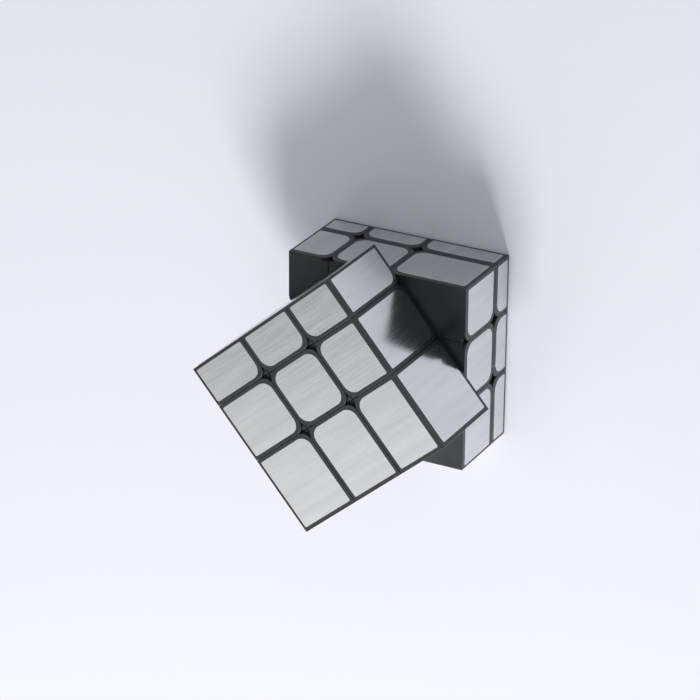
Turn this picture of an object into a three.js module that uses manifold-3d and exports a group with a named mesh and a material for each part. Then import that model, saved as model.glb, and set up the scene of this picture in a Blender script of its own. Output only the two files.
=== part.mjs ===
// Mirror block cube: a 3 x 3 x 3 twisting puzzle whose six layers are all of different thickness.
// It lies on its thinnest layer, and the thickest layer, on top, is stopped part of the way round.
// Frame: millimetres, +Z up. The origin is on the turning axis, at the face the puzzle lies on.
import * as THREE from "three";
import { mergeVertices } from "three/addons/utils/BufferGeometryUtils.js";
import Module from "manifold-3d";

const wasm = await Module();
wasm.setup();

// Layers, measured square to their outer face.
const MIDDLE_SLICE = 19;
const LEFT_LAYER = 13;
const RIGHT_LAYER = 25;
const NEAR_LAYER = 21;
const FAR_LAYER = 17;
const TOP_LAYER = 29;
const BOTTOM_LAYER = 9;
const TOP_TURN_DEG = -49.3;

// Running gaps.
const CUT_GAP = 0.3;
const BALL_GAP = 0.5;
const SEAT_GAP = 0.1;
const CAP_GAP = 0.25;

// Mechanism, measured from the middle of the core.
const NECK_REACH = 1.75;
const NECK_RUNOUT = 3.2;
const FOOT_HEIGHT = 4.7;
const FOOT_LIP = 2.6;
const TILE_CORNER_RADIUS = 3.2;
const TILE_DEPTH = 1;
const SHELL_WALL = 2;
const EDGE_CORE_HOLE_RADIUS = 1.6;
const CORNER_CORE_HOLE_RADIUS = 0.7;

// Screw, spring and washer under each centre.
const SCREW_SHANK_RADIUS = 1.2;
const SCREW_HEAD_RADIUS = 3;
const SCREW_HEAD_HEIGHT = 1.5;
const SCREW_TIP_LENGTH = 0.6;
const SCREW_GRIP = 4.5;
const CROSS_SLOT_WIDTH = 0.7;
const CROSS_SLOT_DEPTH = 0.9;
const WASHER_RADIUS = 3.5;
const WASHER_THICKNESS = 0.5;
const SPRING_LENGTH = 3.2;
const SPRING_WIRE_RADIUS = 0.28;
const SPRING_TURNS = 3.5;
const SHANK_CLEARANCE = 0.15;
const HEAD_CLEARANCE = 0.5;

// Centres, caps and core.
const CAP_THICKNESS = 1.6;
const CAP_LEDGE = 0.8;
const SPIGOT_WALL = 0.9;
const SPIGOT_LENGTH = 1.4;
const CUP_FLOOR = 1.3;
const CUP_WALL = 1.4;
const STEM_RADIUS = 4.2;
const STEM_LENGTH = 0.9;
const CORE_ARM_RADIUS = 3.5;
const CORE_BALL_RADIUS = 5.5;

// Fineness of the round shapes.
const RUNNING_BALL_DETAIL = 3;
const PLAIN_BALL_DETAIL = 2;
const TILE_CORNER_STEPS = 4;
const ROUND_SIDES = 12;
const CORE_HOLE_SIDES = 8;
const WIRE_SIDES = 5;
const COIL_STEPS_PER_TURN = 9;

// Values that follow from the ones above.
const halfSlice = MIDDLE_SLICE / 2;
const layers = [
  { high: { name: "right", thickness: RIGHT_LAYER }, low: { name: "left", thickness: LEFT_LAYER } },
  { high: { name: "far", thickness: FAR_LAYER }, low: { name: "near", thickness: NEAR_LAYER } },
  { high: { name: "top", thickness: TOP_LAYER }, low: { name: "bottom", thickness: BOTTOM_LAYER } },
];
const TOP_AXIS = 2;
const thinnestLayer = Math.min(...layers.flatMap((pair) => [pair.high.thickness, pair.low.thickness]));
const coreHeight = BOTTOM_LAYER + halfSlice;
const ballRadius = Math.sqrt(3) * halfSlice + NECK_REACH;
const footBallRadius = ballRadius - BALL_GAP / 2;
const blockBallRadius = ballRadius + BALL_GAP / 2;
const neckBallRadius = ballRadius + NECK_RUNOUT;
const hubRadius = ballRadius - FOOT_HEIGHT;
const footHalf = halfSlice - FOOT_LIP;

const spigotInnerRadius = SCREW_HEAD_RADIUS + HEAD_CLEARANCE;
const spigotOuterRadius = spigotInnerRadius + SPIGOT_WALL;
const wellRadius = spigotOuterRadius + CAP_GAP;
const capRecessRadius = wellRadius + CAP_LEDGE;
const cupRadius = wellRadius + CUP_WALL;
const headTop = halfSlice + thinnestLayer - CAP_THICKNESS - CAP_GAP - SEAT_GAP;
const headBottom = headTop - SCREW_HEAD_HEIGHT;
const washerBottom = headBottom - SEAT_GAP - WASHER_THICKNESS;
const springBottom = washerBottom - SEAT_GAP - SPRING_LENGTH;
const cupSeat = springBottom - SEAT_GAP;
const cupBottom = cupSeat - CUP_FLOOR;
const stemBottom = cupBottom - STEM_LENGTH;
const coreArmLength = stemBottom - CUT_GAP;
const screwTip = coreArmLength - SCREW_GRIP;

const UP = new THREE.Vector3(0, 0, 1);

// Turns a closed three.js geometry into a manifold solid.
function solid(geometry) {
  const bare = geometry.clone();
  bare.deleteAttribute("normal");
  bare.deleteAttribute("uv");
  const merged = mergeVertices(bare);
  return new wasm.Manifold(new wasm.Mesh({
    numProp: 3,
    vertProperties: new Float32Array(merged.attributes.position.array),
    triVerts: new Uint32Array(merged.index.array),
  }));
}

// Turns a manifold solid back into a three.js geometry.
function geometryOf(body) {
  const mesh = body.getMesh();
  const geometry = new THREE.BufferGeometry();
  geometry.setAttribute("position", new THREE.BufferAttribute(new Float32Array(mesh.vertProperties), 3));
  geometry.setIndex(new THREE.BufferAttribute(new Uint32Array(mesh.triVerts), 1));
  geometry.computeVertexNormals();
  return geometry;
}

// Lays a geometry made along +Z out along another direction.
function laidAlong(geometry, direction) {
  return geometry.applyQuaternion(new THREE.Quaternion().setFromUnitVectors(UP, direction));
}

// A box from three [low, high] ranges.
function boxBetween(ranges) {
  const size = ranges.map(([low, high]) => high - low);
  const middle = ranges.map(([low, high]) => (low + high) / 2);
  return solid(new THREE.BoxGeometry(...size).translate(...middle));
}

// A ball about the middle of the core, fine where pieces run past each other on it.
function ball(radius, detail = PLAIN_BALL_DETAIL) {
  return solid(new THREE.IcosahedronGeometry(radius, detail));
}

// A rod along a direction, from one distance to another.
function rodAlong(direction, radius, from, to, sides = ROUND_SIDES) {
  const rod = new THREE.CylinderGeometry(radius, radius, to - from, sides);
  rod.rotateX(Math.PI / 2).translate(0, 0, (from + to) / 2);
  return solid(laidAlong(rod, direction));
}

// How far the outer face on one side of an axis is from the middle of the core.
function faceDistance(axis, side) {
  const layer = side > 0 ? layers[axis].high : layers[axis].low;
  return halfSlice + layer.thickness;
}

// The stretch of one axis that a piece holds: side 0 is the middle slice.
function stretch(axis, side, half, inset) {
  if (side === 0) {
    return [inset - half, half - inset];
  }
  const inner = half + inset;
  const outer = faceDistance(axis, side);
  return side > 0 ? [inner, outer] : [-outer, -inner];
}

// The tile that a piece shows on one face, as a prism square to that face.
// Corners where four tiles meet are rounded, down to the square trunk, and the others are sharp.
function tilePrism(cell, axis, blockRanges) {
  const across = (axis + 1) % 3;
  const along = (axis + 2) % 3;
  const [low, high] = [blockRanges[across], blockRanges[along]];
  const innerEnd = (which, end) => cell[which] === 0 || (end === 0) === (cell[which] > 0);
  const corners = [[0, 0], [1, 0], [1, 1], [0, 1]];
  const outline = new THREE.Shape();
  corners.forEach(([first, second], turn) => {
    const rounded = innerEnd(across, first) && innerEnd(along, second);
    const radius = rounded ? TILE_CORNER_RADIUS : 0;
    const centreX = low[first] + (first === 0 ? radius : -radius);
    const centreY = high[second] + (second === 0 ? radius : -radius);
    const start = Math.PI + (turn * Math.PI) / 2;
    const x = centreX + radius * Math.cos(start);
    const y = centreY + radius * Math.sin(start);
    turn === 0 ? outline.moveTo(x, y) : outline.lineTo(x, y);
    if (rounded) {
      outline.absarc(centreX, centreY, radius, start, start + Math.PI / 2);
    }
  });
  outline.closePath();
  const [bottom, top] = blockRanges[axis];
  const prism = new THREE.ExtrudeGeometry(outline, {
    depth: top - bottom,
    bevelEnabled: false,
    curveSegments: TILE_CORNER_STEPS,
  });
  prism.translate(0, 0, bottom);
  const basis = [across, along, axis].map((index) => new THREE.Vector3().setComponent(index, 1));
  prism.applyMatrix4(new THREE.Matrix4().makeBasis(...basis));
  return solid(prism);
}

// The plastic shell of one corner, edge or centre: a block outside the ball that every layer
// turns about, a foot that hooks under its neighbours inside it, and a neck that joins the two.
function shellOf(cell) {
  const gap = CUT_GAP / 2;
  const blockRanges = cell.map((side, axis) => stretch(axis, side, halfSlice, gap));
  const footRanges = cell.map((side, axis) => stretch(axis, side, footHalf, gap));
  const neckRanges = cell.map((side, axis) => (side === 0 ? footRanges[axis] : blockRanges[axis]));
  const trunkRanges = blockRanges.map(([low, high], axis) => [
    cell[axis] < 0 ? low + TILE_DEPTH : low,
    cell[axis] > 0 ? high - TILE_DEPTH : high,
  ]);
  const outwardAxes = [0, 1, 2].filter((axis) => cell[axis] !== 0);
  const block = outwardAxes
    .map((axis) => tilePrism(cell, axis, blockRanges))
    .reduce((whole, prism) => whole.intersect(prism))
    .add(boxBetween(trunkRanges))
    .subtract(ball(blockBallRadius, RUNNING_BALL_DETAIL));
  const foot = boxBetween(footRanges).intersect(ball(footBallRadius, RUNNING_BALL_DETAIL));
  const neck = boxBetween(neckRanges).intersect(ball(neckBallRadius));
  return block.add(foot).add(neck).subtract(ball(hubRadius));
}

// The hollow inside the block, behind walls of one thickness and clear of a solid root.
function hollowOf(cell, root) {
  const inset = CUT_GAP / 2 + SHELL_WALL;
  const ranges = cell.map((side, axis) => {
    const [low, high] = stretch(axis, side, halfSlice, inset);
    return [side < 0 ? low + SHELL_WALL : low, side > 0 ? high - SHELL_WALL : high];
  });
  return boxBetween(ranges).subtract(root);
}

// A corner or an edge: a hollow shell, with the moulding core's hole through its neck and foot.
function outerPiece(cell) {
  const outwards = new THREE.Vector3(...cell).normalize();
  const isCorner = cell.every((side) => side !== 0);
  const holeRadius = isCorner ? CORNER_CORE_HOLE_RADIUS : EDGE_CORE_HOLE_RADIUS;
  const holeEnd = blockBallRadius + SHELL_WALL + holeRadius;
  const hole = rodAlong(outwards, holeRadius, 0, holeEnd, CORE_HOLE_SIDES);
  const root = ball(blockBallRadius + SHELL_WALL);
  return shellOf(cell).subtract(hollowOf(cell, root)).subtract(hole);
}

// A centre: a shell with a cup for the spring, washer and screw head, and a seat for its cap.
// Its hollow starts on a flat floor above the neck, and opens into the well down its middle.
function centrePiece(cell) {
  const outwards = new THREE.Vector3(...cell);
  const axis = cell.findIndex((side) => side !== 0);
  const face = faceDistance(axis, cell[axis]);
  const cup = rodAlong(outwards, cupRadius, cupBottom, hubRadius + FOOT_HEIGHT / 2);
  const stem = rodAlong(outwards, STEM_RADIUS, stemBottom, cupSeat);
  const bore = rodAlong(outwards, SCREW_SHANK_RADIUS + SHANK_CLEARANCE, 0, face);
  const well = rodAlong(outwards, wellRadius, cupSeat, face + 1);
  const recess = rodAlong(outwards, capRecessRadius, face - CAP_THICKNESS - CAP_GAP, face + 1);
  const root = boxBetween(cell.map(() => [-neckBallRadius, neckBallRadius]));
  return shellOf(cell)
    .subtract(hollowOf(cell, root))
    .add(cup)
    .add(stem)
    .subtract(bore)
    .subtract(well)
    .subtract(recess);
}

// A round turned part from its half profile.
function turned(profile) {
  const points = profile.map(([radius, height]) => new THREE.Vector2(radius, height));
  return new THREE.LatheGeometry(points, ROUND_SIDES).rotateX(Math.PI / 2);
}

// The cap that closes a centre: a plate flush with the face and a spigot in the well.
function capGeometry(face) {
  const plateBottom = face - CAP_THICKNESS;
  const spigotEnd = plateBottom - SPIGOT_LENGTH;
  const plateRadius = capRecessRadius - CAP_GAP;
  return geometryOf(solid(turned([
    [0, plateBottom],
    [spigotInnerRadius, plateBottom],
    [spigotInnerRadius, spigotEnd],
    [spigotOuterRadius, spigotEnd],
    [spigotOuterRadius, plateBottom],
    [plateRadius, plateBottom],
    [plateRadius, face],
    [0, face],
  ])));
}

// A pan-head screw with a cross slot.
function screwGeometry() {
  const body = solid(turned([
    [0, screwTip],
    [SCREW_SHANK_RADIUS, screwTip + SCREW_TIP_LENGTH],
    [SCREW_SHANK_RADIUS, headBottom],
    [SCREW_HEAD_RADIUS, headBottom],
    [SCREW_HEAD_RADIUS, headTop - SCREW_HEAD_HEIGHT / 3],
    [SCREW_HEAD_RADIUS - SCREW_HEAD_HEIGHT / 3, headTop],
    [0, headTop],
  ]));
  const halfWidth = CROSS_SLOT_WIDTH / 2;
  const depthRange = [headTop - CROSS_SLOT_DEPTH, headTop + 1];
  const arm = [-SCREW_HEAD_RADIUS / 2, SCREW_HEAD_RADIUS / 2];
  const slot = [-halfWidth, halfWidth];
  const cross = boxBetween([arm, slot, depthRange]).add(boxBetween([slot, arm, depthRange]));
  return geometryOf(body.subtract(cross));
}

// A flat ring under the screw head.
function washerGeometry() {
  const inner = SCREW_SHANK_RADIUS + SHANK_CLEARANCE;
  const top = washerBottom + WASHER_THICKNESS;
  return geometryOf(solid(turned([
    [inner, washerBottom],
    [WASHER_RADIUS, washerBottom],
    [WASHER_RADIUS, top],
    [inner, top],
    [inner, washerBottom],
  ])));
}

// The centre line of the coil spring round the screw.
class CoilCurve extends THREE.Curve {
  getPoint(share, target = new THREE.Vector3()) {
    const coilRadius = (SCREW_SHANK_RADIUS + WASHER_RADIUS) / 2;
    const angle = share * SPRING_TURNS * 2 * Math.PI;
    const rise = SPRING_LENGTH - 2 * SPRING_WIRE_RADIUS;
    return target.set(
      coilRadius * Math.cos(angle),
      coilRadius * Math.sin(angle),
      springBottom + SPRING_WIRE_RADIUS + share * rise,
    );
  }
}

// A coil spring between the cup's floor and the washer.
function springGeometry() {
  const wire = new THREE.Shape();
  for (let side = 0; side < WIRE_SIDES; side += 1) {
    const angle = (side / WIRE_SIDES) * 2 * Math.PI;
    const x = SPRING_WIRE_RADIUS * Math.cos(angle);
    const y = SPRING_WIRE_RADIUS * Math.sin(angle);
    side === 0 ? wire.moveTo(x, y) : wire.lineTo(x, y);
  }
  wire.closePath();
  return geometryOf(solid(new THREE.ExtrudeGeometry(wire, {
    steps: Math.round(SPRING_TURNS * COIL_STEPS_PER_TURN),
    extrudePath: new CoilCurve(),
  })));
}

// The six-armed core that the screws bite into.
function coreGeometry(directions) {
  const pilotRadius = SCREW_SHANK_RADIUS + SHANK_CLEARANCE;
  let core = ball(CORE_BALL_RADIUS);
  for (const direction of directions) {
    core = core.add(rodAlong(direction, CORE_ARM_RADIUS, 0, coreArmLength));
  }
  for (const direction of directions) {
    core = core.subtract(rodAlong(direction, pilotRadius, screwTip - CUT_GAP, coreArmLength + 1));
  }
  return geometryOf(core);
}

// The plain name of a place, such as top_left_near.
function placeName(cell) {
  const names = [TOP_AXIS, 0, 1]
    .filter((axis) => cell[axis] !== 0)
    .map((axis) => (cell[axis] > 0 ? layers[axis].high.name : layers[axis].low.name));
  return names.join("_");
}

// Every place in the puzzle but the core's.
function allCells() {
  const sides = [-1, 0, 1];
  const cells = sides.flatMap((x) => sides.flatMap((y) => sides.map((z) => [x, y, z])));
  return cells.filter((cell) => cell.some((side) => side !== 0));
}

const blackPlastic = new THREE.MeshStandardMaterial({ color: 0x242426, roughness: 0.45, metalness: 0 });
const corePlastic = new THREE.MeshStandardMaterial({ color: 0xd9d6cc, roughness: 0.5, metalness: 0 });
const zincSteel = new THREE.MeshStandardMaterial({ color: 0xb4b6ba, roughness: 0.35, metalness: 1 });

const cube = new THREE.Group();
cube.position.z = coreHeight;
const topLayer = new THREE.Group();
topLayer.rotation.z = THREE.MathUtils.degToRad(TOP_TURN_DEG);
cube.add(topLayer);

// Adds one named mesh to a group.
function addMesh(group, name, geometry, material, direction = UP) {
  const mesh = new THREE.Mesh(geometry, material);
  mesh.name = name;
  mesh.quaternion.setFromUnitVectors(UP, direction);
  group.add(mesh);
}

const KINDS = ["centre", "edge", "corner"];
for (const cell of allCells()) {
  const outwardCount = cell.filter((side) => side !== 0).length;
  const group = cell[TOP_AXIS] > 0 ? topLayer : cube;
  const name = `${KINDS[outwardCount - 1]}_${placeName(cell)}`;
  const piece = outwardCount === 1 ? centrePiece(cell) : outerPiece(cell);
  addMesh(group, name, geometryOf(piece), blackPlastic);
}

const directions = [];
for (const cell of allCells().filter((sides) => sides.filter((side) => side !== 0).length === 1)) {
  const direction = new THREE.Vector3(...cell);
  const axis = cell.findIndex((side) => side !== 0);
  const group = cell[TOP_AXIS] > 0 ? topLayer : cube;
  const place = placeName(cell);
  addMesh(group, `cap_${place}`, capGeometry(faceDistance(axis, cell[axis])), blackPlastic, direction);
  addMesh(cube, `screw_${place}`, screwGeometry(), zincSteel, direction);
  addMesh(cube, `washer_${place}`, washerGeometry(), zincSteel, direction);
  addMesh(cube, `spring_${place}`, springGeometry(), zincSteel, direction);
  directions.push(direction);
}
addMesh(cube, "core", coreGeometry(directions), corePlastic);

export default cube;
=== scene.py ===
"""Mirror block cube: black ABS shells under brushed silver film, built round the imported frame.

Pieces are shaped in millimetres from the middle of the core, as in a solved cube. They are then
scaled to metres, and those of the top layer are turned with it, so each one lies where its CAD
node does.
"""

import logging
import math
from dataclasses import dataclass, field
from enum import Enum
from itertools import product

import bmesh
import bpy
from mathutils import Matrix, Vector


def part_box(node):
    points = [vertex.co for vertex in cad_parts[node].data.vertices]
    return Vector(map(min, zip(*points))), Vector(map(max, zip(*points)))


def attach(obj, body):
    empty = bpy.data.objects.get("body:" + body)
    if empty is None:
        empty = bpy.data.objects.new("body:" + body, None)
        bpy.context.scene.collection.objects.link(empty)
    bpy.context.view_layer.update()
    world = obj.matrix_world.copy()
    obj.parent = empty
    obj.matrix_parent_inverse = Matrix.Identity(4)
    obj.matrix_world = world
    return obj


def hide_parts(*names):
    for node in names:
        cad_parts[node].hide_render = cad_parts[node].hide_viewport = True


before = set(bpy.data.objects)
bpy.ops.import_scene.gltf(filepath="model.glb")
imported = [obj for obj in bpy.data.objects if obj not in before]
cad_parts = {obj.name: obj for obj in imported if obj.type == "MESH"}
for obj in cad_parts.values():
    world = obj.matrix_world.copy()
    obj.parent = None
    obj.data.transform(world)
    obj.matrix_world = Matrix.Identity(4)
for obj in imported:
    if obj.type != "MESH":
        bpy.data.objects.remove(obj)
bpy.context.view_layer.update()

log = logging.getLogger("mirror_block_cube")

METRES_PER_MM = 0.001
MERGE_DISTANCE = 1e-4  # millimetres: points nearer than this are one point
CUT_OVERSHOOT = 1.0  # millimetres: how far a cutting tool runs past what it cuts
LAYERS = 3  # how many the cube has along each axis
AXES = range(3)  # x, y and z
TOP_TURN = math.radians(-49.3)

Range = tuple[float, float]
Profile = list[tuple[float, float]]


class Face(Enum):
    """The six outer faces, as an axis and a side of it."""

    LEFT = (0, -1)
    RIGHT = (0, 1)
    NEAR = (1, -1)
    FAR = (1, 1)
    BOTTOM = (2, -1)
    TOP = (2, 1)

    @property
    def axis(self) -> int:
        """Which of x, y and z the face is square to."""
        return self.value[0]

    @property
    def side(self) -> int:
        """Plus or minus one, for the high or low end of the axis."""
        return self.value[1]

    @property
    def label(self) -> str:
        """The face's plain name."""
        return self.name.lower()

    @property
    def outwards(self) -> Vector:
        """The face's outward direction.

        Returns:
            A vector of length one.
        """
        direction = Vector((0.0, 0.0, 0.0))
        direction[self.axis] = self.side
        return direction

    @property
    def brushing(self) -> int:
        """The axis that the brush lines of this face's films run along."""
        return Face.NEAR.axis if self.axis == Face.TOP.axis else Face.TOP.axis


class Body(Enum):
    """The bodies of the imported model."""

    TOP = "top_layer"
    MIDDLE = "root"
    BOTTOM = "bottom_layer"


class Kind(Enum):
    """What a place in the cube holds, by how many outer faces it has."""

    CENTRE = 1
    EDGE = 2
    CORNER = 3


@dataclass(frozen=True)
class Place:
    """One of the 26 places round the core: its side of the core along x, y and z."""

    sides: tuple[int, int, int]

    @property
    def faces(self) -> list[Face]:
        """The outer faces that the piece here shows, in the order that its name has."""
        order = (Face.TOP, Face.BOTTOM, Face.LEFT, Face.RIGHT, Face.NEAR, Face.FAR)
        return [face for face in order if self.sides[face.axis] == face.side]

    @property
    def kind(self) -> Kind:
        """Whether a centre, an edge or a corner belongs here."""
        return Kind(len(self.faces))

    @property
    def name(self) -> str:
        """The plain name of the place, such as top_left_near."""
        return "_".join(face.label for face in self.faces)

    @property
    def node(self) -> str:
        """The name of the CAD node of the shell here."""
        return f"{self.kind.name.lower()}_{self.name}"

    @property
    def body(self) -> Body:
        """The CAD body that the shell here turns with."""
        return {1: Body.TOP, 0: Body.MIDDLE, -1: Body.BOTTOM}[self.sides[Face.TOP.axis]]


@dataclass(frozen=True)
class Grid:
    """Where the cut planes and outer faces are, in millimetres from the middle of the core.

    Attributes:
        half_slice: Half the thickness of a middle slice.
        core_height: Height of the middle of the core above the origin.
        reach: Distance of each outer face from the middle of the core.
        cut_gap: The gap between two neighbouring shells.
    """

    half_slice: float
    core_height: float
    reach: dict[Face, float]
    cut_gap: float

    @classmethod
    def from_frame(cls, cut_gap: float = 0.3) -> "Grid":
        """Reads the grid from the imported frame.

        Args:
            cut_gap: The gap between two neighbouring shells.

        Returns:
            The grid.
        """
        low, high = (corner / METRES_PER_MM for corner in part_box("core"))
        height = (low.z + high.z) / 2
        reach = {}
        for face in Face:
            low, high = (corner / METRES_PER_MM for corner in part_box(f"centre_{face.label}"))
            far_end = high[face.axis] if face.side > 0 else -low[face.axis]
            reach[face] = far_end - face.side * (height if face.axis == Face.TOP.axis else 0)
        shell_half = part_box("centre_left")[1].y / METRES_PER_MM
        return cls(shell_half + cut_gap / 2, height, reach, cut_gap)

    def stretch(self, side: int, axis: int, half: float, inset: float) -> Range:
        """The stretch of an axis that a piece on one side of it holds.

        Args:
            side: Minus one, zero or one, where zero is the middle slice.
            axis: 0, 1 or 2 for x, y or z.
            half: Half the thickness of the middle slice at this depth.
            inset: How far the stretch stays back from a cut plane.

        Returns:
            Its low and high end.
        """
        if side == 0:
            return inset - half, half - inset
        outer = self.reach[Face((axis, side))]
        return (half + inset, outer) if side > 0 else (-outer, -half - inset)

    def to_frame(self, body: Body) -> Matrix:
        """What carries a piece from the solved cube, in millimetres, to its place in the frame.

        Args:
            body: The CAD body that the piece rides on.

        Returns:
            A matrix that turns, lifts and scales.
        """
        turn = Matrix.Rotation(TOP_TURN if body is Body.TOP else 0.0, 4, "Z")
        lift = Matrix.Translation((0, 0, self.core_height))
        return Matrix.Scale(METRES_PER_MM, 4) @ lift @ turn


@dataclass(frozen=True)
class Mechanism:
    """The sizes that the shells, films, caps, fastenings and core share, in millimetres.

    Distances are from the middle of the core.
    """

    grid: Grid
    film_thickness: float = 0.12
    ball_gap: float = 0.5
    seat_gap: float = 0.1
    cap_gap: float = 0.25
    neck_reach: float = 1.75
    neck_runout: float = 3.2
    foot_height: float = 4.7
    foot_lip: float = 2.6
    shank_radius: float = 1.2
    shank_clearance: float = 0.15
    head_radius: float = 3.0
    head_height: float = 1.5
    head_clearance: float = 0.5
    washer_thickness: float = 0.5
    washer_radius: float = 3.5
    spring_length: float = 3.2
    screw_grip: float = 4.5
    cap_thickness: float = 1.6
    cap_ledge: float = 0.8
    spigot_wall: float = 0.9
    cup_floor: float = 1.3
    cup_wall: float = 1.4
    stem_radius: float = 4.2
    stem_length: float = 0.9

    @property
    def ball_radius(self) -> float:
        """The ball that the layers turn about."""
        return math.sqrt(3) * self.grid.half_slice + self.neck_reach

    @property
    def hub_radius(self) -> float:
        """The free space round the core."""
        return self.ball_radius - self.foot_height

    @property
    def spigot_radius(self) -> float:
        """The outside of a cap's spigot."""
        return self.head_radius + self.head_clearance + self.spigot_wall

    @property
    def well_radius(self) -> float:
        """The well that a cap's spigot drops into."""
        return self.spigot_radius + self.cap_gap

    @property
    def recess_radius(self) -> float:
        """The recess that a cap's plate lies in."""
        return self.well_radius + self.cap_ledge

    @property
    def head_top(self) -> float:
        """The top of a screw's head, just under the cap of the thinnest layer."""
        shallowest = min(self.grid.reach.values())
        return shallowest - self.cap_thickness - self.cap_gap - self.seat_gap

    @property
    def head_bottom(self) -> float:
        """The underside of a screw's head."""
        return self.head_top - self.head_height

    @property
    def washer_bottom(self) -> float:
        """The underside of the washer."""
        return self.head_bottom - self.seat_gap - self.washer_thickness

    @property
    def spring_bottom(self) -> float:
        """The lower end of the spring."""
        return self.washer_bottom - self.seat_gap - self.spring_length

    @property
    def cup_seat(self) -> float:
        """The floor of the cup that the spring stands on."""
        return self.spring_bottom - self.seat_gap

    @property
    def stem_bottom(self) -> float:
        """The end of the centre's stem, next to the core's arm."""
        return self.cup_seat - self.cup_floor - self.stem_length

    @property
    def arm_length(self) -> float:
        """The end of the core's arm."""
        return self.stem_bottom - self.grid.cut_gap

    @property
    def screw_tip(self) -> float:
        """The tip of the screw inside the core."""
        return self.arm_length - self.screw_grip


# Mesh work -----------------------------------------------------------------------------------


def in_scene(name: str, data: bpy.types.ID) -> bpy.types.Object:
    """Makes an object in the scene.

    Args:
        name: Its name.
        data: Its mesh, light or camera.

    Returns:
        The object.
    """
    item = bpy.data.objects.new(name, data)
    bpy.context.scene.collection.objects.link(item)
    return item


def mesh_in_scene(name: str, body: bmesh.types.BMesh) -> bpy.types.Object:
    """Makes an object in the scene from a bmesh.

    Args:
        name: Its name.
        body: Its shape, which is used up.

    Returns:
        The object.
    """
    mesh = bpy.data.meshes.new(name)
    body.to_mesh(mesh)
    body.free()
    return in_scene(name, mesh)


def box_mesh(ranges: list[Range]) -> bmesh.types.BMesh:
    """Makes a box.

    Args:
        ranges: The low and high end along x, y and z.

    Returns:
        The box as a bmesh.
    """
    body = bmesh.new()
    bmesh.ops.create_cube(body, size=1.0)
    size = [high - low for low, high in ranges]
    middle = [(low + high) / 2 for low, high in ranges]
    bmesh.ops.scale(body, vec=size, verts=body.verts)
    bmesh.ops.translate(body, vec=middle, verts=body.verts)
    return body


def ball_mesh(radius: float, subdivisions: int = 5) -> bmesh.types.BMesh:
    """Makes a ball about the middle of the core.

    Args:
        radius: Its radius.
        subdivisions: How fine it is.

    Returns:
        The ball as a bmesh.
    """
    body = bmesh.new()
    bmesh.ops.create_icosphere(body, subdivisions=subdivisions, radius=radius)
    return body


def aim_outwards(body: bmesh.types.BMesh, outwards: Vector) -> bmesh.types.BMesh:
    """Turns a part that was made along z to lie along another direction.

    Args:
        body: The part.
        outwards: The direction.

    Returns:
        The same part.
    """
    turn = Vector((0, 0, 1)).rotation_difference(outwards).to_matrix()
    bmesh.ops.rotate(body, cent=(0, 0, 0), matrix=turn, verts=body.verts)
    return body


def turned_mesh(profile: Profile, ring: bool = False, sides: int = 64) -> bmesh.types.BMesh:
    """Turns a half profile about the z axis.

    Args:
        profile: Points as radius and height.
        ring: Whether the profile closes on itself, clear of the axis.
        sides: How many steps the full turn has.

    Returns:
        The turned part as a bmesh.
    """
    body = bmesh.new()
    verts = [body.verts.new((radius, 0.0, height)) for radius, height in profile]
    edges = [body.edges.new(pair) for pair in zip(verts, verts[1:])]
    if ring:
        edges.append(body.edges.new((verts[-1], verts[0])))
    bmesh.ops.spin(
        body,
        geom=verts + edges,
        cent=(0, 0, 0),
        axis=(0, 0, 1),
        dvec=(0, 0, 0),
        angle=math.tau,
        steps=sides,
        use_merge=True,
        use_duplicate=False,
    )
    bmesh.ops.remove_doubles(body, verts=body.verts, dist=MERGE_DISTANCE)
    bmesh.ops.recalc_face_normals(body, faces=body.faces)
    return body


def rod_mesh(outwards: Vector, radius: float, low: float, high: float) -> bmesh.types.BMesh:
    """Makes a round rod along a direction.

    Args:
        outwards: The direction.
        radius: The rod's radius.
        low: Where it starts along the direction.
        high: Where it ends.

    Returns:
        The rod as a bmesh.
    """
    profile = [(0, low), (radius, low), (radius, high), (0, high)]
    return aim_outwards(turned_mesh(profile), outwards)


def round_edges(
    body: bmesh.types.BMesh, edges: list[bmesh.types.BMEdge], radius: float, segments: int
) -> None:
    """Rounds edges.

    Args:
        body: The bmesh that they belong to.
        edges: The edges.
        radius: The radius of the rounding.
        segments: How many flats it has.
    """
    bmesh.ops.bevel(
        body,
        geom=edges,
        offset=radius,
        offset_type="OFFSET",
        segments=segments,
        profile=0.5,
        affect="EDGES",
        material=-1,
        clamp_overlap=False,
    )


def sharp_edges(body: bmesh.types.BMesh, degrees: float = 60.0) -> list[bmesh.types.BMEdge]:
    """Lists the edges whose faces turn by more than an angle."""
    return [edge for edge in body.edges if edge.calc_face_angle(0.0) > math.radians(degrees)]


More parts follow.
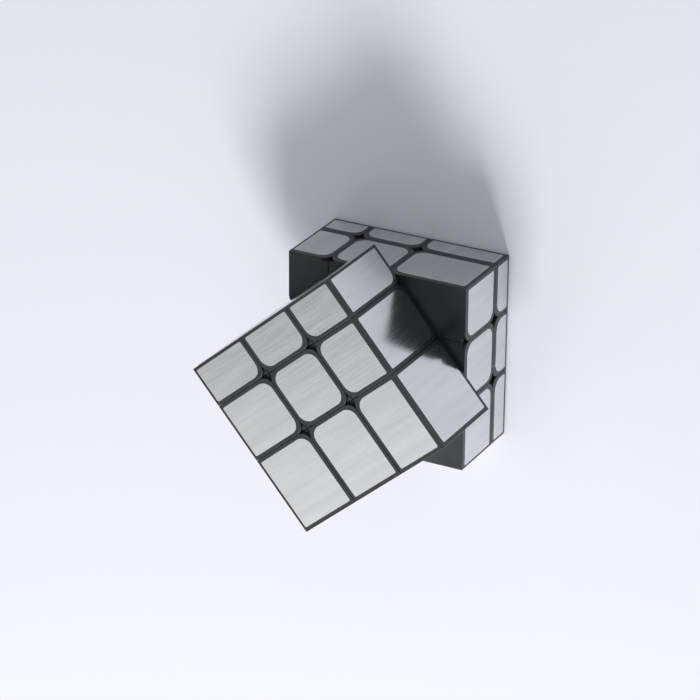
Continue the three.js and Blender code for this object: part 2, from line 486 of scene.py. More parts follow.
class Workpiece:
    """A closed solid that others are joined to and cut from, as on a bench."""

    def __init__(self, body: bmesh.types.BMesh) -> None:
        """Puts a bmesh on the bench.

        Args:
            body: The bmesh, which is used up.
        """
        self.holder = mesh_in_scene("work", body)
        self.tools: list[bpy.types.Object] = []

    def _use(self, body: bmesh.types.BMesh, operation: str) -> "Workpiece":
        """Adds one boolean step.

        Args:
            body: The step's tool, which is used up.
            operation: The step's name in Blender.

        Returns:
            The workpiece itself, ready for the next step.
        """
        tool = Workpiece(body).holder
        self.tools.append(tool)
        step = self.holder.modifiers.new(operation, "BOOLEAN")
        step.operation = operation
        step.solver = "EXACT"
        step.object = tool
        return self

    def join(self, body: bmesh.types.BMesh) -> "Workpiece":
        """Joins a solid on."""
        return self._use(body, "UNION")

    def cut(self, body: bmesh.types.BMesh) -> "Workpiece":
        """Cuts a solid away."""
        return self._use(body, "DIFFERENCE")

    def keep(self, body: bmesh.types.BMesh) -> "Workpiece":
        """Keeps only what lies in a solid."""
        return self._use(body, "INTERSECT")

    def take(self) -> bmesh.types.BMesh:
        """Takes the finished solid off the bench.

        Returns:
            It as a bmesh, with its doubles merged.
        """
        graph = bpy.context.evaluated_depsgraph_get()
        mesh = bpy.data.meshes.new_from_object(self.holder.evaluated_get(graph))
        body = bmesh.new()
        body.from_mesh(mesh)
        bpy.data.meshes.remove(mesh)
        for used in [self.holder, *self.tools]:
            data = used.data
            bpy.data.objects.remove(used)
            bpy.data.meshes.remove(data)
        bmesh.ops.remove_doubles(body, verts=body.verts, dist=MERGE_DISTANCE)
        bmesh.ops.dissolve_degenerate(body, edges=body.edges, dist=MERGE_DISTANCE)
        return body


def finished(
    name: str,
    body: bmesh.types.BMesh,
    to_frame: Matrix,
    finish: bpy.types.Material,
    smooth_degrees: float = 40.0,
) -> bpy.types.Object:
    """Makes a finished object with its place in its mesh.

    Args:
        name: The piece's name.
        body: Its shape in millimetres, which is used up.
        to_frame: What carries it to its place in the frame.
        finish: Its material.
        smooth_degrees: Edges that turn by less than this are shaded smooth.

    Returns:
        The object, at the origin.
    """
    body.transform(to_frame)
    piece = mesh_in_scene(name, body)
    piece.data.materials.append(finish)
    for polygon in piece.data.polygons:
        polygon.use_smooth = True
    piece.data.set_sharp_from_angle(angle=math.radians(smooth_degrees))
    flats = piece.modifiers.new("flat_faces", "WEIGHTED_NORMAL")
    flats.keep_sharp = True
    return piece


def fit(piece: bpy.types.Object, body: Body, slot: str, *nodes: str) -> bpy.types.Object:
    """Ties a finished piece to the frame.

    Args:
        piece: The piece.
        body: The CAD body that it rides on.
        slot: Not used.
        *nodes: The CAD nodes that it stands for.

    Returns:
        The piece.
    """
    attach(piece, body.value)
    if nodes:
        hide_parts(*nodes)
    log.info("%s: %d faces on %s", piece.name, len(piece.data.polygons), body.value)
    return piece


# Finishes ------------------------------------------------------------------------------------

MIX_FIRST_COLOUR = 6
MIX_SECOND_COLOUR = 7
MIX_COLOUR_RESULT = 2
NOISE_REACH = {"From Min": 0.3, "From Max": 0.7}  # noise seldom leaves this range
FILM_UV = "brushing"


def linear(hex_colour: str) -> tuple[float, float, float, float]:
    """Turns an sRGB hex colour into linear RGBA, by the standard's own curve.

    Args:
        hex_colour: The colour, such as #d0d1d3.

    Returns:
        Red, green, blue and an alpha of one.
    """
    values = [int(hex_colour[index : index + 2], 16) / 255 for index in (1, 3, 5)]
    curve = [v / 12.92 if v <= 0.04045 else ((v + 0.055) / 1.055) ** 2.4 for v in values]
    return (*curve, 1.0)


def add_node(
    tree: bpy.types.NodeTree, kind: str, settings: dict | None = None, inputs: dict | None = None
) -> bpy.types.Node:
    """Adds a shader node.

    Args:
        tree: The node tree.
        kind: The node's type name.
        settings: Properties to set on it.
        inputs: Values for its sockets, or output sockets to link to them.

    Returns:
        The node.
    """
    node = tree.nodes.new(kind)
    for key, value in (settings or {}).items():
        setattr(node, key, value)
    for key, value in (inputs or {}).items():
        if isinstance(value, bpy.types.NodeSocket):
            tree.links.new(value, node.inputs[key])
        else:
            node.inputs[key].default_value = value
    return node


@dataclass(frozen=True)
class Finish:
    """What every finish has: a name, two tones that it varies between, and its gloss."""

    name: str
    dark: str
    light: str
    roughness: Range

    def material(self) -> bpy.types.Material:
        """Makes the finish's material.

        Returns:
            The material, with all its nodes.
        """
        material = bpy.data.materials.new(self.name)
        material.use_nodes = True
        tree = material.node_tree
        self.dress(tree, tree.nodes["Principled BSDF"])
        return material

    def dress(self, tree: bpy.types.NodeTree, shader: bpy.types.Node) -> None:
        """Adds the finish's own nodes.

        Args:
            tree: The material's node tree.
            shader: Its Principled shader.
        """
        raise NotImplementedError

    def noise(
        self, tree: bpy.types.NodeTree, size_mm: float, octaves: float
    ) -> bpy.types.NodeSocket:
        """Adds an even noise pattern, of a size in millimetres.

        Args:
            tree: The material's node tree.
            size_mm: How far apart its blotches are.
            octaves: How many finer patterns lie in it.

        Returns:
            The pattern's socket.
        """
        place = add_node(tree, "ShaderNodeTexCoord")
        inputs = {
            "Vector": place.outputs["Object"],
            "Scale": 1 / (size_mm * METRES_PER_MM),
            "Detail": octaves,
        }
        return add_node(tree, "ShaderNodeTexNoise", inputs=inputs).outputs["Fac"]

    def spread(
        self,
        tree: bpy.types.NodeTree,
        shader: bpy.types.Node,
        tone: bpy.types.NodeSocket,
        gloss: bpy.types.NodeSocket,
    ) -> None:
        """Gives the shader its two tones and its gloss from two patterns about a half.

        Args:
            tree: The material's node tree.
            shader: Its Principled shader.
            tone: The pattern of light and dark.
            gloss: The pattern of smooth and rough.
        """
        share = add_node(tree, "ShaderNodeMapRange", inputs={"Value": tone, **NOISE_REACH})
        tones = {
            "Factor": share.outputs["Result"],
            MIX_FIRST_COLOUR: linear(self.dark),
            MIX_SECOND_COLOUR: linear(self.light),
        }
        colour = add_node(tree, "ShaderNodeMix", {"data_type": "RGBA"}, tones)
        low, high = self.roughness
        span = {"Value": gloss, "To Min": low, "To Max": high, **NOISE_REACH}
        rough = add_node(tree, "ShaderNodeMapRange", inputs=span)
        tree.links.new(colour.outputs[MIX_COLOUR_RESULT], shader.inputs["Base Color"])
        tree.links.new(rough.outputs["Result"], shader.inputs["Roughness"])

    def raise_relief(
        self,
        tree: bpy.types.NodeTree,
        shader: bpy.types.Node,
        height: bpy.types.NodeSocket,
        relief_mm: float,
    ) -> None:
        """Gives the shader a relief.

        Args:
            tree: The material's node tree.
            shader: Its Principled shader.
            height: The pattern of high and low.
            relief_mm: How deep the pattern is.
        """
        inputs = {"Strength": 1.0, "Distance": relief_mm * METRES_PER_MM, "Height": height}
        bump = add_node(tree, "ShaderNodeBump", inputs=inputs)
        tree.links.new(bump.outputs["Normal"], shader.inputs["Normal"])


@dataclass(frozen=True)
class SilverFilm(Finish):
    """Brushed metallised film: vinyl with a layer of vapour-coated aluminium, brushed one way.

    The eye gets a pale grey mirror that blurs things a short way off, with faint straight lines
    along the brushing and some broader bands. Real brush lines are about 0.05 mm wide, too fine
    to show, so they are drawn 0.4 mm wide. Each film reads its own map in millimetres, with the
    brushing along u, because each one is cut from another part of the sheet. Reflections are
    drawn out across the lines, a quarter turn from them.
    """

    line_mm: float = 0.4
    line_length_mm: float = 14.0
    line_octaves: float = 2.0
    band_mm: float = 2.6
    band_length_mm: float = 40.0
    band_octaves: float = 1.0
    band_share: float = 0.5
    relief_mm: float = 0.0011
    anisotropy: float = 0.45
    anisotropy_turn: float = 0.25

    def dress(self, tree: bpy.types.NodeTree, shader: bpy.types.Node) -> None:
        """Adds brush lines, bands, relief and a sideways blur.

        Args:
            tree: The material's node tree.
            shader: Its Principled shader.
        """
        lines = self._brushing(tree, self.line_mm, self.line_length_mm, self.line_octaves)
        bands = self._brushing(tree, self.band_mm, self.band_length_mm, self.band_octaves)
        inputs = {"Factor": self.band_share, "A": lines, "B": bands}
        both = add_node(tree, "ShaderNodeMix", {"data_type": "FLOAT"}, inputs)
        self.spread(tree, shader, both.outputs["Result"], lines)
        self.raise_relief(tree, shader, lines, self.relief_mm)
        along = add_node(
            tree, "ShaderNodeTangent", {"direction_type": "UV_MAP", "uv_map": FILM_UV}
        )
        tree.links.new(along.outputs["Tangent"], shader.inputs["Tangent"])
        shader.inputs["Anisotropic"].default_value = self.anisotropy
        shader.inputs["Anisotropic Rotation"].default_value = self.anisotropy_turn
        shader.inputs["Metallic"].default_value = 1.0

    @staticmethod
    def _brushing(
        tree: bpy.types.NodeTree, width_mm: float, length_mm: float, octaves: float
    ) -> bpy.types.NodeSocket:
        """Adds noise drawn out along the brushing.

        Args:
            tree: The material's node tree.
            width_mm: The width of a line.
            length_mm: Its length.
            octaves: How many finer patterns lie in it.

        Returns:
            The pattern's socket.
        """
        own_map = add_node(tree, "ShaderNodeUVMap", {"uv_map": FILM_UV})
        stretch = {"Vector": own_map.outputs["UV"], "Scale": (1 / length_mm, 1 / width_mm, 1.0)}
        drawn = add_node(tree, "ShaderNodeMapping", inputs=stretch)
        inputs = {"Vector": drawn.outputs["Vector"], "Scale": 1.0, "Detail": octaves}
        return add_node(
            tree, "ShaderNodeTexNoise", {"noise_dimensions": "2D"}, inputs
        ).outputs["Fac"]


@dataclass(frozen=True)
class MouldedPlastic(Finish):
    """An injection-moulded plastic, with a faint grain from the mould and a soft, clouded gloss.

    The grain of a satin mould is about 0.1 mm, and is drawn 0.4 mm wide so that it shows.
    """

    ior: float = 1.5
    grain_mm: float = 0.4
    grain_octaves: float = 2.0
    cloud_mm: float = 7.0
    cloud_octaves: float = 3.0
    relief_mm: float = 0.002

    def dress(self, tree: bpy.types.NodeTree, shader: bpy.types.Node) -> None:
        """Adds clouded tone and gloss and the mould's grain.

        Args:
            tree: The material's node tree.
            shader: Its Principled shader.
        """
        clouds = self.noise(tree, self.cloud_mm, self.cloud_octaves)
        self.spread(tree, shader, clouds, clouds)
        grain = self.noise(tree, self.grain_mm, self.grain_octaves)
        self.raise_relief(tree, shader, grain, self.relief_mm)
        shader.inputs["IOR"].default_value = self.ior


@dataclass(frozen=True)
class ZincPlate(Finish):
    """Bright zinc plate on steel: a bluish grey metal with a slightly patchy gloss."""

    patch_mm: float = 0.8
    patch_octaves: float = 4.0

    def dress(self, tree: bpy.types.NodeTree, shader: bpy.types.Node) -> None:
        """Adds patches of tone and gloss.

        Args:
            tree: The material's node tree.
            shader: Its Principled shader.
        """
        patches = self.noise(tree, self.patch_mm, self.patch_octaves)
        self.spread(tree, shader, patches, patches)
        shader.inputs["Metallic"].default_value = 1.0


SILVER_FILM = SilverFilm("brushed_silver_film", "#ced0d0", "#dcddde", (0.16, 0.21))
BLACK_ABS = MouldedPlastic("black_abs", "#232426", "#2b2d2f", (0.3, 0.4))
NYLON = MouldedPlastic("natural_nylon", "#d3d0c4", "#e2dfd6", (0.45, 0.55))
BRIGHT_ZINC = ZincPlate("zinc_plated_steel", "#a9adb4", "#c9ccd2", (0.22, 0.4))


# Sub-assemblies ------------------------------------------------------------------------------


@dataclass
class Shells:
    """The black shells of the corners, edges and centres.

    Each is a block outside the ball that every layer turns about, a foot that hooks under its
    neighbours inside it, and a neck that joins the two. The block is a square trunk under
    shallow tiles, whose corners are rounded where four of them meet. Sizes are in millimetres.
    """

    mechanism: Mechanism
    finish: bpy.types.Material
    tile_depth: float = 1.0
    crossing_radius: float = 3.2
    crossing_segments: int = 12
    edge_radius: float = 0.16
    edge_segments: int = 4
    seam_gap: float = 0.07
    seam_allowance: float = 0.02

    @property
    def grid(self) -> Grid:
        """The cut planes and outer faces."""
        return self.mechanism.grid

    def build(self, place: Place) -> bpy.types.Object:
        """Builds and dresses the shell at a place.

        Args:
            place: The place.

        Returns:
            The finished shell, riding on its body and standing for its CAD node.
        """
        sizes = self.mechanism
        gap = sizes.ball_gap / 2
        half = self.grid.half_slice
        foot_half = half - sizes.foot_lip
        work = Workpiece(self._tiles(place))
        work.join(self._trunk(place)).cut(ball_mesh(sizes.ball_radius + gap))
        work.join(self._inside(place, foot_half, foot_half, 0.0, sizes.ball_radius - gap))
        neck_ball = sizes.ball_radius + sizes.neck_runout
        work.join(self._inside(place, foot_half, half, self.seam_allowance, neck_ball))
        if place.kind is Kind.CENTRE:
            self._fit_centre(work, place.faces[0])
        piece = finished(
            f"shell_{place.node}", work.take(), self.grid.to_frame(place.body), self.finish
        )
        return fit(piece, place.body, "black_plastic", place.node)

    def _tiles(self, place: Place) -> bmesh.types.BMesh:
        """Makes the block with its rounded edges, a film's thickness below the outer faces.

        Args:
            place: The place it is for.

        Returns:
            The block as a bmesh.
        """
        half = self.grid.half_slice
        depth = self.mechanism.film_thickness
        body = self._block(place, half, half, self.seam_gap / 2, depth)
        crossings = [edge for edge in body.edges if self._is_crossing(place, edge)]
        round_edges(body, crossings, self.crossing_radius, self.crossing_segments)
        round_edges(body, sharp_edges(body), self.edge_radius, self.edge_segments)
        return body

    def _trunk(self, place: Place) -> bmesh.types.BMesh:
        """Makes the square trunk under the tiles, which fills the crossings further in.

        Args:
            place: The place it is for.

        Returns:
            The trunk as a bmesh.
        """
        half = self.grid.half_slice
        inset = self.seam_gap / 2 + self.seam_allowance
        depth = self.mechanism.film_thickness + self.tile_depth
        body = self._block(place, half, half, inset, depth)
        round_edges(body, sharp_edges(body), self.edge_radius, self.edge_segments)
        return body

    def _block(
        self, place: Place, middle_half: float, outer_half: float, inset: float, depth: float
    ) -> bmesh.types.BMesh:
        """Makes a box that lies inside the sides of a place.

        Args:
            place: The place.
            middle_half: Half the box's width across a middle slice.
            outer_half: Where the box starts in an outer layer.
            inset: How far it stays back from both.
            depth: How far it stays below the outer faces.

        Returns:
            The box as a bmesh.
        """
        ranges = []
        for axis, side in enumerate(place.sides):
            half = outer_half if side else middle_half
            ranges.append(self.grid.stretch(side, axis, half, inset))
        for face in place.faces:
            ranges[face.axis] = self._sunk(ranges[face.axis], face, depth)
        return box_mesh(ranges)

    @staticmethod
    def _sunk(stretch: Range, face: Face, depth: float) -> Range:
        """Draws the outer end of a stretch in from an outer face."""
        low, high = stretch
        return (low, high - depth) if face.side > 0 else (low + depth, high)

    def _is_crossing(self, place: Place, edge: bmesh.types.BMEdge) -> bool:
        """Whether an edge of the block runs inwards from where four tiles meet.

        Args:
            place: The block's place.
            edge: The edge.

        Returns:
            True if it does.
        """
        first, second = (vert.co for vert in edge.verts)
        run = max(AXES, key=lambda axis: abs(first[axis] - second[axis]))
        if place.sides[run] == 0:
            return False
        limit = self.grid.half_slice + self.grid.cut_gap
        return all(abs(first[axis]) < limit for axis in AXES if axis != run)

    def _inside(
        self, place: Place, middle_half: float, outer_half: float, margin: float, radius: float
    ) -> bmesh.types.BMesh:
        """Makes a foot or a neck: part of a box between the hub's free space and a ball.

        Args:
            place: The place it is for.
            middle_half: Half the box's width across a middle slice.
            outer_half: Where the box starts in an outer layer.
            margin: How far the box stays inside the block's own sides.
            radius: The ball's radius.

        Returns:
            The part as a bmesh.
        """
        inset = self.grid.cut_gap / 2 + margin
        depth = self.mechanism.film_thickness + self.seam_allowance
        work = Workpiece(self._block(place, middle_half, outer_half, inset, depth))
        work.keep(ball_mesh(radius)).cut(ball_mesh(self.mechanism.hub_radius))
        return work.take()

    def _fit_centre(self, work: Workpiece, face: Face) -> None:
        """Adds a centre's cup and stem, and cuts its well, bore and cap seat.

        Args:
            work: The centre's shell on the bench.
            face: The face that the centre shows.
        """
        sizes = self.mechanism
        outwards = face.outwards
        above = self.grid.reach[face] + CUT_OVERSHOOT
        cup_bottom = sizes.cup_seat - sizes.cup_floor
        cup_top = sizes.hub_radius + sizes.foot_height / 2
        bore = sizes.shank_radius + sizes.shank_clearance
        recess_floor = self.grid.reach[face] - sizes.cap_thickness - sizes.cap_gap
        work.join(rod_mesh(outwards, sizes.well_radius + sizes.cup_wall, cup_bottom, cup_top))
        work.join(rod_mesh(outwards, sizes.stem_radius, sizes.stem_bottom, sizes.cup_seat))
        work.cut(rod_mesh(outwards, bore, sizes.stem_bottom - CUT_OVERSHOOT, above))
        work.cut(rod_mesh(outwards, sizes.well_radius, sizes.cup_seat, above))
        work.cut(rod_mesh(outwards, sizes.recess_radius, recess_floor, above))


@dataclass
class Films:
    """The silver films, one on each outer face of each shell. Sizes are in millimetres.

    A film stops short of its tile's edges: by one margin at most cuts, by a wider one at the
    cuts between the three layers, and by others at the outer edges of the cube, where the films
    of the side faces stop further from the top's edge.
    """

    grid: Grid
    finish: bpy.types.Material
    thickness: float
    cut_margin: float = 1.08
    layer_cut_margin: float = 1.45
    edge_margins: dict[Face, float] = field(
        default_factory=lambda: {
            Face.LEFT: 0.95,
            Face.RIGHT: 1.32,
            Face.NEAR: 1.04,
            Face.FAR: 1.06,
            Face.TOP: 1.75,
            Face.BOTTOM: 1.2,
        }
    )
    crossing_radius: float = 3.35
    crossing_segments: int = 14
    crossing_allowance: float = 0.1
    corner_radius: float = 0.5
    corner_segments: int = 5
    rim_radius: float = 0.03
    rim_segments: int = 1
    sheet_step_mm: float = 37.0

    def build(self, place: Place, face: Face) -> bpy.types.Object:
        """Builds and dresses one film.

        Args:
            place: The shell that it is stuck on.
            face: The outer face that it covers.

        Returns:
            The finished film, riding with its shell.
        """
        body = box_mesh(self._ranges(place, face))
        across = [edge for edge in body.edges if self._runs_through(edge, face)]
        corners = [edge for edge in across if not self._at_crossing(edge, face)]
        round_edges(body, corners, self.corner_radius, self.corner_segments)
        crossings = [
            edge
            for edge in sharp_edges(body)
            if self._runs_through(edge, face) and self._at_crossing(edge, face)
        ]
        round_edges(body, crossings, self.crossing_radius, self.crossing_segments)
        rim = [edge for edge in sharp_edges(body) if self._on_face(edge, face)]
        round_edges(body, rim, self.rim_radius, self.rim_segments)
        self._map(body, place, face)
        name = f"film_{place.name}_on_{face.label}"
        piece = finished(name, body, self.grid.to_frame(place.body), self.finish)
        return fit(piece, place.body, "silver_film")

    def _ranges(self, place: Place, face: Face) -> list[Range]:
        """Works out the box round a film, its outer side level with the CAD face.

        Args:
            place: The shell that it is stuck on.
            face: The outer face that it covers.

        Returns:
            The box's low and high end along x, y and z.
        """
        side_face = face.axis != Face.TOP.axis
        ranges = []
        for axis, side in enumerate(place.sides):
            if axis == face.axis:
                top = self.grid.reach[face]
                stretch = (top - self.thickness, top)
                ranges.append(stretch if face.side > 0 else (-stretch[1], -stretch[0]))
                continue
            between_layers = side_face and axis == Face.TOP.axis
            inset = self.layer_cut_margin if between_layers else self.cut_margin
            low, high = self.grid.stretch(side, axis, self.grid.half_slice, inset)
            if side > 0:
                high -= self.edge_margins[Face((axis, side))]
            elif side < 0:
                low += self.edge_margins[Face((axis, side))]
            ranges.append((low, high))
        return ranges

    def _map(self, body: bmesh.types.BMesh, place: Place, face: Face) -> None:
        """Gives a film its own map in millimetres, brushing along u, from its part of the sheet.

        Args:
            body: The film.
            place: The shell that it is stuck on.
            face: The outer face that it covers.
        """
        along = face.brushing
        over = next(axis for axis in AXES if axis not in (along, face.axis))
        own_number = face.axis
        for side in place.sides:
            own_number = LAYERS * own_number + side
        step = self.sheet_step_mm * own_number
        layer = body.loops.layers.uv.new(FILM_UV)
        for corner in (corner for polygon in body.faces for corner in polygon.loops):
            corner[layer].uv = (corner.vert.co[along] + step, corner.vert.co[over] + step)

    @staticmethod
    def _runs_through(edge: bmesh.types.BMEdge, face: Face) -> bool:
        """Whether an edge runs through the film's thickness."""
        run = edge.verts[0].co - edge.verts[1].co
        return all(abs(run[axis]) < MERGE_DISTANCE for axis in AXES if axis != face.axis)

    def _at_crossing(self, edge: bmesh.types.BMEdge, face: Face) -> bool:
        """Whether a corner of the film is where four tiles meet.

        Args:
            edge: The edge at the corner, through the film's thickness.
            face: The outer face that the film covers.

        Returns:
            True if it is.
        """
        point = edge.verts[0].co
        limit = self.grid.half_slice + self.layer_cut_margin + self.crossing_allowance
        return all(abs(point[axis]) < limit for axis in AXES if axis != face.axis)

    def _on_face(self, edge: bmesh.types.BMEdge, face: Face) -> bool:
        """Whether an edge lies on the film's outer side."""
        top = self.grid.reach[face]
        return all(abs(abs(vert.co[face.axis]) - top) < MERGE_DISTANCE for vert in edge.verts)


@dataclass
class Caps:
    """The caps that close the centres, under their films. Sizes are in millimetres."""

    mechanism: Mechanism
    finish: bpy.types.Material
    spigot_length: float = 1.4
    edge_radius: float = 0.15
    edge_segments: int = 3

    def build(self, face: Face) -> bpy.types.Object:
        """Builds and dresses the cap of one centre.

        Args:
            face: The face that the centre shows.

        Returns:
            The finished cap, riding with its centre.
        """
        sizes = self.mechanism
        reach = sizes.grid.reach[face]
        plate_bottom = reach - sizes.cap_thickness
        spigot_end = plate_bottom - self.spigot_length
        plate_radius = sizes.recess_radius - sizes.cap_gap
        inner = sizes.spigot_radius - sizes.spigot_wall
        top = reach - sizes.film_thickness
        body = turned_mesh(
            [
                (0, plate_bottom),
                (inner, plate_bottom),
                (inner, spigot_end),
                (sizes.spigot_radius, spigot_end),
                (sizes.spigot_radius, plate_bottom),
                (plate_radius, plate_bottom),
                (plate_radius, top),
                (0, top),
            ]
        )
        round_edges(body, sharp_edges(body), self.edge_radius, self.edge_segments)
        aim_outwards(body, face.outwards)
        place = Place(tuple(int(value) for value in face.outwards))
        to_frame = sizes.grid.to_frame(place.body)
        piece = finished(f"moulded_cap_{face.label}", body, to_frame, self.finish)
        return fit(piece, place.body, "black_plastic", f"cap_{face.label}")


@dataclass
class Fastenings:
    """The screw, washer and spring under each centre. Sizes are in millimetres.

    Of the screw's edges only the head's are rounded, which are the ones longer than
    shortest_rim_edge. The thread's ridge starts thread_root inside the shank, so that the two
    join. The spring's closed end coils rise by closed_pitch wire thicknesses a turn.
    """

    mechanism: Mechanism
    finish: bpy.types.Material
    tip_length: float = 0.6
    crown_height: float = 0.5
    slot_width: float = 0.7
    slot_depth: float = 0.9
    edge_radius: float = 0.12
    edge_segments: int = 2
    rim_degrees: float = 30.0
    shortest_rim_edge: float = 0.2
    thread_depth: float = 0.28
    thread_root: float = 0.1
    thread_half_width: float = 0.2
    thread_pitch: float = 0.6
    thread_turns: int = 6
    wire_radius: float = 0.28
    wire_sides: int = 12
    end_turns: float = 1.0
    closed_pitch: float = 1.03
    active_turns: float = 1.5
    steps_per_turn: int = 32

    def build(self, face: Face) -> list[bpy.types.Object]:
        """Builds and dresses the fastenings of one centre.

        Args:
            face: The face that the centre shows.

        Returns:
            The screw, the washer and the spring.
        """
        parts = {"screw": self._screw(), "washer": self._washer(), "spring": self._spring()}
        to_frame = self.mechanism.grid.to_frame(Body.MIDDLE)
        pieces = []
        for part, body in parts.items():
            aim_outwards(body, face.outwards)
            piece = finished(f"plated_{part}_{face.label}", body, to_frame, self.finish)
            pieces.append(fit(piece, Body.MIDDLE, "zinc_steel", f"{part}_{face.label}"))
        return pieces

    def _screw(self) -> bmesh.types.BMesh:
        """Makes a pan-head screw with a cross slot and a thread.

        Returns:
            The screw as a bmesh.
        """
        sizes = self.mechanism
        crown = self.crown_height
        shank = turned_mesh(
            [
                (0, sizes.screw_tip),
                (sizes.shank_radius, sizes.screw_tip + self.tip_length),
                (sizes.shank_radius, sizes.head_bottom),
                (sizes.head_radius, sizes.head_bottom),
                (sizes.head_radius, sizes.head_top - crown),
                (sizes.head_radius - crown, sizes.head_top),
                (0, sizes.head_top),
            ]
        )
        turns = sharp_edges(shank, self.rim_degrees)
        rims = [edge for edge in turns if edge.calc_length() > self.shortest_rim_edge]
        round_edges(shank, rims, self.edge_radius, self.edge_segments)
        arm = (-sizes.head_radius / 2, sizes.head_radius / 2)
        slot = (-self.slot_width / 2, self.slot_width / 2)
        deep = (sizes.head_top - self.slot_depth, sizes.head_top + CUT_OVERSHOOT)
        work = Workpiece(shank)
        work.cut(box_mesh([arm, slot, deep])).cut(box_mesh([slot, arm, deep]))
        work.join(self._thread())
        return work.take()

    def _thread(self) -> bmesh.types.BMesh:
        """Makes the ridge that winds round the screw's shank.

        Returns:
            The ridge as a bmesh.
        """
        sizes = self.mechanism
        root = sizes.shank_radius - self.thread_root
        half = self.thread_half_width
        start = sizes.screw_tip + self.tip_length + half
        body = bmesh.new()
        ridge = [(root, -half), (sizes.shank_radius + self.thread_depth, 0.0), (root, half)]
        verts = [body.verts.new((radius, 0.0, start + height)) for radius, height in ridge]
        profile = body.faces.new(verts)
        self._wind(body, profile, self.thread_turns, self.thread_turns * self.thread_pitch)
        return self._closed(body)

    def _washer(self) -> bmesh.types.BMesh:
        """Makes a flat ring.

        Returns:
            The ring as a bmesh.
        """
        sizes = self.mechanism
        inner, outer = sizes.shank_radius + sizes.shank_clearance, sizes.washer_radius
        low, high = sizes.washer_bottom, sizes.washer_bottom + sizes.washer_thickness
        profile = [(inner, low), (outer, low), (outer, high), (inner, high)]
        body = turned_mesh(profile, ring=True)
        round_edges(body, sharp_edges(body), self.edge_radius, self.edge_segments)
        return body

    def _spring(self) -> bmesh.types.BMesh:
        """Makes a compression spring with closed ends.

        Returns:
            The spring as a bmesh.
        """
        sizes = self.mechanism
        coil_radius = (sizes.shank_radius + sizes.washer_radius) / 2
        start = sizes.spring_bottom + self.wire_radius
        rise = sizes.spring_length - 2 * self.wire_radius
        closed_rise = 2 * self.wire_radius * self.closed_pitch * self.end_turns
        body = bmesh.new()
        spot = Matrix.Translation((coil_radius, 0, start)) @ Matrix.Rotation(math.pi / 2, 4, "X")
        bmesh.ops.create_circle(
            body, cap_ends=True, segments=self.wire_sides, radius=self.wire_radius, matrix=spot
        )
        end = self._wind(body, next(iter(body.faces)), self.end_turns, closed_rise)
        end = self._wind(body, end, self.active_turns, rise - 2 * closed_rise)
        self._wind(body, end, self.end_turns, closed_rise)
        return self._closed(body)

    def _wind(
        self, body: bmesh.types.BMesh, profile: bmesh.types.BMFace, turns: float, rise: float
    ) -> bmesh.types.BMFace:
        """Winds a profile up round the z axis.

        Args:
            body: The bmesh that the profile is in.
            profile: The face to wind.
            turns: How many turns it makes.
            rise: How far it climbs.

        Returns:
            The face at the far end.
        """
        steps = round(turns * self.steps_per_turn)
        wound = bmesh.ops.spin(
            body,
            geom=[profile],
            cent=(0, 0, 0),
            axis=(0, 0, 1),
            dvec=(0, 0, rise / steps),
            angle=turns * math.tau,
            steps=steps,
            use_merge=False,
            use_duplicate=False,
        )
        return next(item for item in wound["geom_last"] if isinstance(item, bmesh.types.BMFace))

    @staticmethod
    def _closed(body: bmesh.types.BMesh) -> bmesh.types.BMesh:
        """Closes the ends of a wound part and points its faces outwards.

        Args:
            body: The part.

        Returns:
            The same part.
        """
        bmesh.ops.remove_doubles(body, verts=body.verts, dist=MERGE_DISTANCE)
        bmesh.ops.holes_fill(body, edges=[edge for edge in body.edges if edge.is_boundary])
        inside = [face for face in body.faces if all(len(e.link_faces) > 2 for e in face.edges)]
        bmesh.ops.delete(body, geom=inside, context="FACES_ONLY")
        bmesh.ops.recalc_face_normals(body, faces=body.faces)
        return body


@dataclass
class Core:
    """The six-armed core that the screws bite into. Sizes are in millimetres."""

    mechanism: Mechanism
    finish: bpy.types.Material
    ball_radius: float = 5.5
    arm_radius: float = 3.5
    pilot_depth: float = 0.3
    edge_radius: float = 0.2
    edge_segments: int = 2

    def build(self) -> bpy.types.Object:
        """Builds and dresses the core.

        Returns:
            The finished core.
        """
        sizes = self.mechanism
        pilot = sizes.shank_radius + sizes.shank_clearance
        work = Workpiece(ball_mesh(self.ball_radius))
        for face in Face:
            work.join(self._arm(face))
        for face in Face:
            low, high = sizes.screw_tip - self.pilot_depth, sizes.arm_length + CUT_OVERSHOOT
            work.cut(rod_mesh(face.outwards, pilot, low, high))
        to_frame = sizes.grid.to_frame(Body.MIDDLE)
        piece = finished("moulded_core", work.take(), to_frame, self.finish)
        return fit(piece, Body.MIDDLE, "core_plastic", "core")

    def _arm(self, face: Face) -> bmesh.types.BMesh:
        """Makes one arm, with its end rounded over.

        Args:
            face: The face that the arm points to.

        Returns:
            The arm as a bmesh.
        """
        length = self.mechanism.arm_length
        profile = [(0, 0), (self.arm_radius, 0), (self.arm_radius, length), (0, length)]
        arm = turned_mesh(profile)
        round_edges(arm, sharp_edges(arm), self.edge_radius, self.edge_segments)
        return aim_outwards(arm, face.outwards)


# Studio --------------------------------------------------------------------------------------


@dataclass(frozen=True)
class SoftLight:
    """A square soft light. Sizes are in metres, and its power in watts."""

    name: str
    place: tuple[float, float, float]
    target: tuple[float, float, float]
    size: float
    power: float

    def hang(self) -> None:
        """Hangs the light, facing its target."""
        data = bpy.data.lights.new(self.name, "AREA")
        data.shape = "SQUARE"
        data.size = self.size
        data.energy = self.power
        light = in_scene(self.name, data)
        facing = Vector(self.target) - Vector(self.place)
        light.rotation_euler = facing.to_track_quat("-Z", "Y").to_euler()
        light.location = self.place


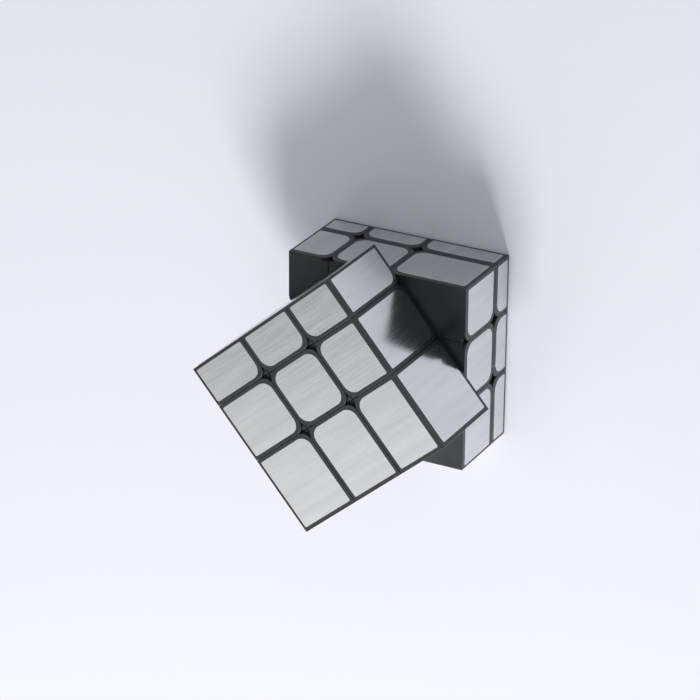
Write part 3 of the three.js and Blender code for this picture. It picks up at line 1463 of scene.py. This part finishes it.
@dataclass(frozen=True)
class Studio:
    """A pale floor, soft lights, an even sky and the camera. Sizes are in metres."""

    floor_size: float = 6.0
    floor_colour: str = "#eaeaf3"
    floor_roughness: float = 0.8
    floor_specular: float = 0.2
    sky_colour: str = "#f5f6f7"
    sky_strength: float = 0.5
    lights: tuple[SoftLight, ...] = (
        SoftLight("key_light", (0.2, -0.95, 0.95), (0.013, 0.015, 0.057), 0.45, 14.0),
        SoftLight("overhead_light", (-0.402, -0.903, 0.832), (-0.587, -0.439, -0.034), 0.9, 1.5),
    )
    aim: tuple[float, float, float] = (0.01316, 0.014596, 0.057)
    azimuth: float = math.radians(134.4366)
    elevation: float = math.radians(53.4105)
    roll: float = math.radians(-127.777)
    distance: float = 0.91445
    lens_mm: float = 170.037
    sensor_mm: float = 36.0

    def build(self) -> None:
        """Builds the floor, the lights, the sky and the camera."""
        self._lay_floor()
        for light in self.lights:
            light.hang()
        world = bpy.data.worlds.new("sky")
        world.use_nodes = True
        backdrop = world.node_tree.nodes["Background"]
        backdrop.inputs["Color"].default_value = linear(self.sky_colour)
        backdrop.inputs["Strength"].default_value = self.sky_strength
        bpy.context.scene.world = world
        bpy.context.scene.view_settings.view_transform = "Standard"
        self._set_camera()

    def _lay_floor(self) -> None:
        """Lays the floor under the puzzle."""
        body = bmesh.new()
        bmesh.ops.create_grid(body, x_segments=1, y_segments=1, size=self.floor_size / 2)
        floor = mesh_in_scene("floor", body)
        paper = bpy.data.materials.new("matt_paper")
        paper.use_nodes = True
        shader = paper.node_tree.nodes["Principled BSDF"]
        shader.inputs["Base Color"].default_value = linear(self.floor_colour)
        shader.inputs["Roughness"].default_value = self.floor_roughness
        shader.inputs["Specular IOR Level"].default_value = self.floor_specular
        floor.data.materials.append(paper)

    def _set_camera(self) -> None:
        """Places the camera round the aim point."""
        data = bpy.data.cameras.new("camera")
        data.lens = self.lens_mm
        data.sensor_width = self.sensor_mm
        camera = in_scene("camera", data)
        level = math.cos(self.elevation)
        east, south = math.sin(self.azimuth) * level, math.cos(self.azimuth) * level
        back = Vector((east, -south, math.sin(self.elevation)))
        upright = (-back).to_track_quat("-Z", "Y").to_matrix().to_4x4()
        roll = Matrix.Rotation(self.roll, 4, "Z")
        spot = Matrix.Translation(Vector(self.aim) + back * self.distance)
        camera.matrix_world = spot @ upright @ roll
        bpy.context.scene.camera = camera


def main() -> None:
    """Builds every piece in order and reports it."""
    logging.basicConfig(level=logging.INFO, format="%(name)s: %(message)s")
    grid = Grid.from_frame()
    mechanism = Mechanism(grid)
    black = BLACK_ABS.material()
    shells = Shells(mechanism, black)
    films = Films(grid, SILVER_FILM.material(), mechanism.film_thickness)
    caps = Caps(mechanism, black)
    fastenings = Fastenings(mechanism, BRIGHT_ZINC.material())
    Core(mechanism, NYLON.material()).build()
    for place in (Place(sides) for sides in product((-1, 0, 1), repeat=3) if any(sides)):
        shells.build(place)
        for face in place.faces:
            films.build(place, face)
    for face in Face:
        caps.build(face)
        fastenings.build(face)
    Studio().build()


if __name__ == "__main__":
    main()
